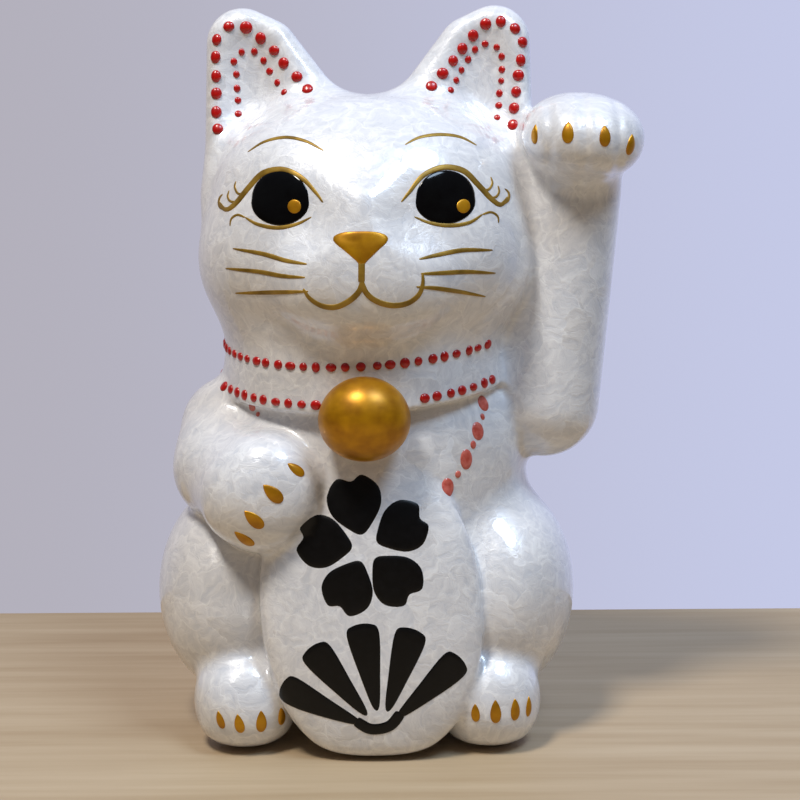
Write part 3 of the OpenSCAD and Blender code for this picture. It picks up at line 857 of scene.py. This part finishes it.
BRUSH_RINGS, BRUSH_H = (0.35, 0.65, 0.85, 0.96, 1.0), 0.2
ornament = Layer("brushed_tablet_ornament")
BLOSSOM, FAN = (0.4, 61.2), (4.2, 9.8)
PETAL = [(0, 3.4), (3.2, 5.6), (6.4, 9.6), (6.7, 14), (3.4, 17.6), (0.3, 16.6), (-3.2, 17.9), (-6.6, 14.2),
         (-6.3, 9.5), (-3, 5.4)]
for i in range(5):
    turn = ORNAMENT_TURN + 72 * i + HAND.normal(0, 1.5)
    petal = placed(closed_outline(PETAL), BLOSSOM, turn, 1.06 + HAND.normal(0, 0.03))
    middle = placed([(0, 11.5)], BLOSSOM, turn)[0]
    ornament.from_front(dab(petal, BRUSH_H, middle, 8.0, BRUSH_RINGS))
BLADE = [(-0.9, 7), (0.9, 7), (2.8, 16), (4.6, 27.4), (2.6, 30.2), (-2.2, 30.4), (-4.4, 27.8), (-2.7, 16)]
for spread in (-56, -28, 0, 28, 56):
    turn = spread + ORNAMENT_TURN + HAND.normal(0, 1.2)
    blade = placed(closed_outline(BLADE), FAN, turn, 1.02 + HAND.normal(0, 0.02))
    ornament.from_front(dab(blade, BRUSH_H, blade.mean(0), 8.0, BRUSH_RINGS))
PIVOT = placed([(-6.5, 4.4), (-2.6, 1.2), (2.6, 1.2), (6.5, 4.4)], FAN, ORNAMENT_TURN)
ornament.from_front(stroke(PIVOT, 3.4, 0.22, 6.0, 0.5, 0.5))
paint["tablet_ornament"] = ornament
for node, layer in paint.items():
    layer.build()
print("painted pieces:", len(paint))

# %% [markdown]
# ## Finishes
# Colours are picked as they look on a screen (sRGB) and turned into linear light once. Pattern sizes are
# in millimetres, because every material reads the piece's own coordinates times 1000.

# %% Node helpers
def rgb(hex_colour):
    value = [int(hex_colour[i : i + 2], 16) / 255 for i in (1, 3, 5)]
    return [c / 12.92 if c <= 0.04045 else ((c + 0.055) / 1.055) ** 2.4 for c in value] + [1.0]


def fill(node, *sockets, stops=(), **settings):
    """Sockets fill inputs in order, settings name inputs or properties, stops are a ramp's colours."""
    links = node.id_data.links
    for key, value in [*enumerate(sockets), *settings.items()]:
        named = [i for i in node.inputs if i.name == str(key).replace("_", " ") and i.enabled]
        found = named or [i for i in node.inputs if i.identifier == key]
        socket = node.inputs[key] if isinstance(key, int) else found[0] if found else None
        if socket is None:
            setattr(node, key, value)
        elif isinstance(value, bpy.types.Node):
            links.new(value.outputs[0], socket)
        elif isinstance(value, bpy.types.NodeSocket):
            links.new(value, socket)
        else:
            socket.default_value = value
    while stops and len(node.color_ramp.elements) < len(stops):
        node.color_ramp.elements.new(0.5)
    for element, (at, colour) in zip(node.color_ramp.elements if stops else (), stops):
        element.position, element.color = at, rgb(colour)
    return node


def add(tree, kind, *sockets, **settings):
    """Adds one node with its settings and links."""
    return fill(tree.nodes.new("ShaderNode" + kind), *sockets, **settings)


class Finish:
    """A material: its nodes, its shader, and the piece's own coordinates in millimetres."""

    def __init__(self, name, **shader):
        self.material = bpy.data.materials.new(name)
        self.material.use_nodes = True
        self.tree = self.material.node_tree
        self.tree.nodes.clear()
        self.shader = self.add("BsdfPrincipled", **shader)
        self.add("OutputMaterial", Surface=self.shader)
        where = self.add("TexCoord").outputs["Object"]
        self.place = self.add("VectorMath", where, operation="SCALE", Scale=1 / MM)

    def add(self, kind, *sockets, **settings):
        return add(self.tree, kind, *sockets, **settings)


print("node helpers ready")

# %% [markdown]
# ### Pearl lustre glaze
# The glaze carries mica that settles in feathery plates 6 to 10 mm wide. Inside a plate the flakes lie
# in fine streaks, all one way, so neighbouring plates differ a little in tone and lean. Above them is a
# clear, smooth, very glossy coat. The base layer gets the plates and streaks; the coat keeps the skin's
# own normal.

# %% Pearl lustre glaze
def pearl_glaze(name):
    plate, fold, half = 8.5, 6.0, (0.5, 0.5, 0.5)
    f = Finish(name, Roughness=0.3, IOR=1.5, Metallic=0.08, Specular_IOR_Level=0.15,
               Coat_Weight=1.0, Coat_Roughness=0.035, Coat_IOR=1.52)
    warp = f.add("TexNoise", Vector=f.place, Scale=1 / fold, Detail=2.0, Roughness=0.5).outputs["Color"]
    push = f.add("VectorMath", warp, half, operation="SUBTRACT")
    push = f.add("VectorMath", push, operation="SCALE", Scale=7.0)
    bent = f.add("VectorMath", f.place, push, operation="ADD")
    hue = f.add("TexVoronoi", Vector=bent, Scale=1 / plate, Randomness=1.0).outputs["Color"]
    axis = f.add("VectorMath", hue, half, operation="SUBTRACT")
    pick = f.add("SeparateColor", Color=hue).outputs["Blue"]
    angle = f.add("Math", pick, 6.283, operation="MULTIPLY")
    spun = f.add("VectorRotate", rotation_type="AXIS_ANGLE", Vector=bent, Axis=axis, Angle=angle)
    fine = f.add("Mapping", Vector=spun, Scale=(0.16, 1.7, 1.7))
    streaks = f.add("TexNoise", Vector=fine, Scale=1.0, Detail=3.0, Roughness=0.62, Distortion=0.25)
    broad = f.add("Mapping", Vector=spun, Scale=(0.06, 0.45, 0.45))
    feather = f.add("TexNoise", Vector=broad, Scale=1.0, Detail=2.0, Roughness=0.5)
    edge = f.add("TexVoronoi", Vector=bent, Scale=1 / plate, feature="DISTANCE_TO_EDGE").outputs["Distance"]
    edge = f.add("Math", edge, 22.0, operation="MULTIPLY")
    thread = f.add("Math", 1.0, edge, operation="SUBTRACT", use_clamp=True)
    tilt = f.add("VectorMath", axis, operation="SCALE", Scale=0.1)
    leaned = f.add("VectorMath", f.add("NewGeometry").outputs["Normal"], tilt, operation="ADD")
    leaned = f.add("VectorMath", leaned, operation="NORMALIZE")
    height = f.add("Math", feather, 1.6, streaks, operation="MULTIPLY_ADD")
    shade = f.add("Math", feather, 0.76, operation="MULTIPLY")
    shade = f.add("Math", streaks, 0.24, shade, operation="MULTIPLY_ADD")
    shade = f.add("Math", thread, 0.1, shade, operation="MULTIPLY_ADD", use_clamp=True)
    tones = (0.3, "#d7dae1"), (0.5, "#e6e7eb"), (0.72, "#f8f9fb")
    fill(f.shader, Base_Color=f.add("ValToRGB", shade, stops=tones),
         Roughness=f.add("Math", streaks, 0.22, 0.2, operation="MULTIPLY_ADD"),
         Normal=f.add("Bump", Height=height, Distance=0.09 * MM, Strength=0.85, Normal=leaned))
    return f.material


print("pearl glaze ready")

# %% [markdown]
# ### Paints
# Gold lustre is a thin satin layer of metal in resin: yellow ochre where it lies thick, with soft brush
# marks. The fine gold lines are thinner and look olive brown at the edges. The enamels are glassy beads;
# the black ones shine like jet, and the tablet's black was brushed on and stayed satin.

# %% Paints
def gold(name, deep, bright, metallic, roughness, mark=1.6):
    f = Finish(name, Metallic=metallic, Roughness=roughness, IOR=1.5, Coat_Weight=0.08, Coat_Roughness=0.3)
    pulled = f.add("Mapping", Vector=f.place, Scale=(0.5, 0.5, 1.0))
    marks = f.add("TexNoise", Vector=pulled, Scale=1 / mark, Detail=3.0, Roughness=0.55)
    cloud = f.add("TexNoise", Vector=f.place, Scale=1 / 5.5, Detail=2.0, Roughness=0.5)
    speck = f.add("TexNoise", Vector=f.place, Scale=1 / 0.35, Detail=2.0, Roughness=0.5)
    tone = f.add("Math", cloud, 0.8, operation="MULTIPLY")
    tone = f.add("Math", marks, 0.2, tone, operation="MULTIPLY_ADD")
    height = f.add("Math", speck, 0.35, marks, operation="MULTIPLY_ADD")
    fill(f.shader, Base_Color=f.add("ValToRGB", tone, stops=((0.35, deep), (0.65, bright))),
         Roughness=f.add("Math", marks, 0.12, roughness - 0.06, operation="MULTIPLY_ADD"),
         Normal=f.add("Bump", Height=height, Distance=0.02 * MM, Strength=0.5))
    return f.material


def enamel(name, dark, light, roughness, coat, grain=1.3, depth=0.03, ior=1.5):
    f = Finish(name, Roughness=roughness, IOR=ior, Coat_Weight=coat, Coat_Roughness=0.06)
    body = f.add("TexNoise", Vector=f.place, Scale=1 / grain, Detail=3.0, Roughness=0.55)
    fine = f.add("TexNoise", Vector=f.place, Scale=1 / (grain / 2), Detail=2.0, Roughness=0.5)
    fill(f.shader, Base_Color=f.add("ValToRGB", body, stops=((0.32, dark), (0.68, light))),
         Roughness=f.add("Math", fine, 0.1, roughness - 0.05, operation="MULTIPLY_ADD"),
         Normal=f.add("Bump", Height=body, Distance=depth * MM, Strength=0.5))
    return f.material


def soft_plastic(name):
    f = Finish(name, Roughness=0.5, IOR=1.45, Subsurface_Weight=0.25, Subsurface_Scale=0.004)
    haze = f.add("TexNoise", Vector=f.place, Scale=1 / 7.0, Detail=3.0, Roughness=0.5)
    wear = f.add("TexNoise", Vector=f.place, Scale=1 / 0.8, Detail=3.0, Roughness=0.5)
    grit = f.add("TexNoise", Vector=f.place, Scale=1 / 0.5, Detail=2.0, Roughness=0.5)
    fill(f.shader, Base_Color=f.add("ValToRGB", haze, stops=((0.3, "#cfcfc8"), (0.7, "#e4e4de"))),
         Roughness=f.add("Math", wear, 0.2, 0.42, operation="MULTIPLY_ADD"),
         Normal=f.add("Bump", Height=grit, Distance=0.03 * MM, Strength=0.4))
    return f.material


FINISHES = {
    "pearl_glaze": pearl_glaze("Pearl lustre glaze on slip-cast ceramic"),
    "gold_lustre": gold("Satin gold lustre, brushed", "#a87004", "#cc9209", 0.5, 0.37),
    "gold_line": gold("Gold lustre, fine brushed line", "#7c5f16", "#b08c34", 0.45, 0.44, 0.8),
    "red_enamel": enamel("Raised red enamel", "#a30806", "#c6100c", 0.3, 0.35),
    "coral_enamel": enamel("Raised coral enamel", "#b9473a", "#d87466", 0.36, 0.4, 1.6),
    "black_enamel": enamel("Glossy black enamel", "#010102", "#040506", 0.1, 0.0, 3.0, 0.01, 1.4),
    "black_brush": enamel("Brushed black enamel, satin", "#020203", "#08080a", 0.36, 0.0, 2.2, 0.03, 1.36),
    "soft_stopper": soft_plastic("Soft translucent plastic, moulded"),
}
print("finishes:", len(FINISHES))

# %% [markdown]
# ## Each piece takes its place
# Every piece rides with the body of the part that it stands for, takes the place of that part, and gets
# the finish of that part's material slot.

# %% Each piece takes its place
pieces = {**casts, **{node: layer.piece for node, layer in paint.items()}, "base_stopper": stopper}
slots = {part["node"]: part["material_slot"] for part in frame["record"]["subparts"]}
for node, piece in pieces.items():
    body = "stopper" if node == "base_stopper" else "figurine"
    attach(piece, body)
    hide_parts(node)
    piece.data.materials.clear()
    piece.data.materials.append(FINISHES[slots[node]])
for name, node in frame["nodes"].items():
    node.data.materials.clear()
    node.data.materials.append(FINISHES[slots[name]])
print("pieces:", len(pieces), "of", len(slots), "nodes; left:", sorted(set(slots) - set(pieces)))

# %% [markdown]
# ## Stage
# A pale table top that ends a little behind the cat, and a room that is lilac-grey behind it and dark
# brown elsewhere. A small warm light hangs high on the left in front, and a wider cool one on the right.
# The glaze shows the table wherever it faces down.

# %% Stage
def figure_to_world(v):
    return Vector((np.asarray(v, float) + FIGURE) * MM)


table = bpy.data.objects.new("table_top", bpy.data.meshes.new("table_top"))
side_x, near_y, far_y, board = 700, -900, 103, 18
edge = ((-side_x, near_y), (side_x, near_y), (side_x, far_y), (-side_x, far_y))
corners = [figure_to_world((x, y, z)) for z in (0, -board) for x, y in edge]
table.data.from_pydata(corners, [], [(0, 1, 2, 3), (7, 6, 5, 4), (0, 4, 5, 1), (1, 5, 6, 2), (2, 6, 7, 3),
                                     (3, 7, 4, 0)])
bpy.context.scene.collection.objects.link(table)
wood = Finish("Pale limed table top", Roughness=0.55, IOR=1.45)
grain = wood.add("Mapping", Vector=wood.place, Scale=(0.05, 1.0, 1.0))
tone = wood.add("TexNoise", Vector=grain, Scale=1 / 9.0, Detail=4.0, Roughness=0.6)
fill(wood.shader, Base_Color=wood.add("ValToRGB", tone, stops=((0.3, "#ab9475"), (0.7, "#bfab8e"))))
table.data.materials.append(wood.material)

world = bpy.data.worlds.new("Room")
bpy.context.scene.world = world
world.use_nodes = True
air = world.node_tree
air.nodes.clear()
where = add(air, "SeparateXYZ", add(air, "TexCoord").outputs["Generated"])
sweep = {}
for axis, low, high in (("X", -0.3, 0.3), ("Y", 0.0, 0.75), ("Z", 0.05, 0.8)):
    sweep[axis] = add(air, "MapRange", where.outputs[axis], interpolation_type="SMOOTHSTEP",
                      From_Min=low, From_Max=high)
MIX_COLOUR = 2
wall = add(air, "Mix", data_type="RGBA", Factor_Float=sweep["X"], A_Color=rgb("#b3b0bb"),
           B_Color=rgb("#c5cae8")).outputs[MIX_COLOUR]
room = add(air, "Mix", data_type="RGBA", Factor_Float=sweep["Z"], A_Color=rgb("#4a3f34"),
           B_Color=rgb("#63656e")).outputs[MIX_COLOUR]
behind = add(air, "Mix", data_type="RGBA", Factor_Float=sweep["Y"], A_Color=room, B_Color=wall)
add(air, "OutputWorld", add(air, "Background", behind.outputs[MIX_COLOUR]))


def soft_light(name, at, aim, size, watts, colour):
    lamp = bpy.data.lights.new(name, "AREA")
    lamp.shape, lamp.size, lamp.energy, lamp.color = "DISK", size * MM, watts, rgb(colour)[:3]
    light = bpy.data.objects.new(name, lamp)
    bpy.context.scene.collection.objects.link(light)
    light.location = figure_to_world(at)
    light.rotation_mode = "QUATERNION"
    light.rotation_quaternion = (figure_to_world(aim) - light.location).to_track_quat("-Z", "Y")
    return light


soft_light("key", (-280, -410, 1030), (0, 0, 90), 230, 8.2, "#fff8ee")
soft_light("window", (390, -360, 980), (0, 0, 90), 380, 5.8, "#cbe4ff")
print("stage ready")

# %% [markdown]
# ## Camera
# It stands 48 cm from the cat, just above its middle and tipped down 9 degrees, with a slight roll.

# %% Camera
lens_target, distance, elevation, azimuth, roll = (9.8, 0, 96.0), 480, 9.0, 0.8, 0.6
view_width, sensor = 800 / 3.33, 36
e, a, r = (math.radians(x) for x in (elevation, azimuth, roll))
back = Vector((math.sin(a) * math.cos(e), -math.cos(a) * math.cos(e), math.sin(e)))
right = (-back).cross(Vector((0, 0, 1))).normalized()
up = right.cross(-back)
turned_right = right * math.cos(r) - up * math.sin(r)
turned_up = right * math.sin(r) + up * math.cos(r)
lens = bpy.data.cameras.new("lens")
lens.lens, lens.sensor_width = sensor * distance / view_width, sensor
lens.clip_start, lens.clip_end = 0.02, 20
camera = bpy.data.objects.new("camera", lens)
bpy.context.scene.collection.objects.link(camera)
stand = figure_to_world(np.array(lens_target) + np.array(back) * distance)
aim = Matrix((turned_right, turned_up, back)).transposed().to_4x4()
camera.matrix_world = Matrix.Translation(stand) @ aim
bpy.context.scene.camera = camera
bpy.context.scene.view_settings.view_transform = "Standard"
print("camera:", distance, "mm away, lens", round(lens.lens, 1), "mm")
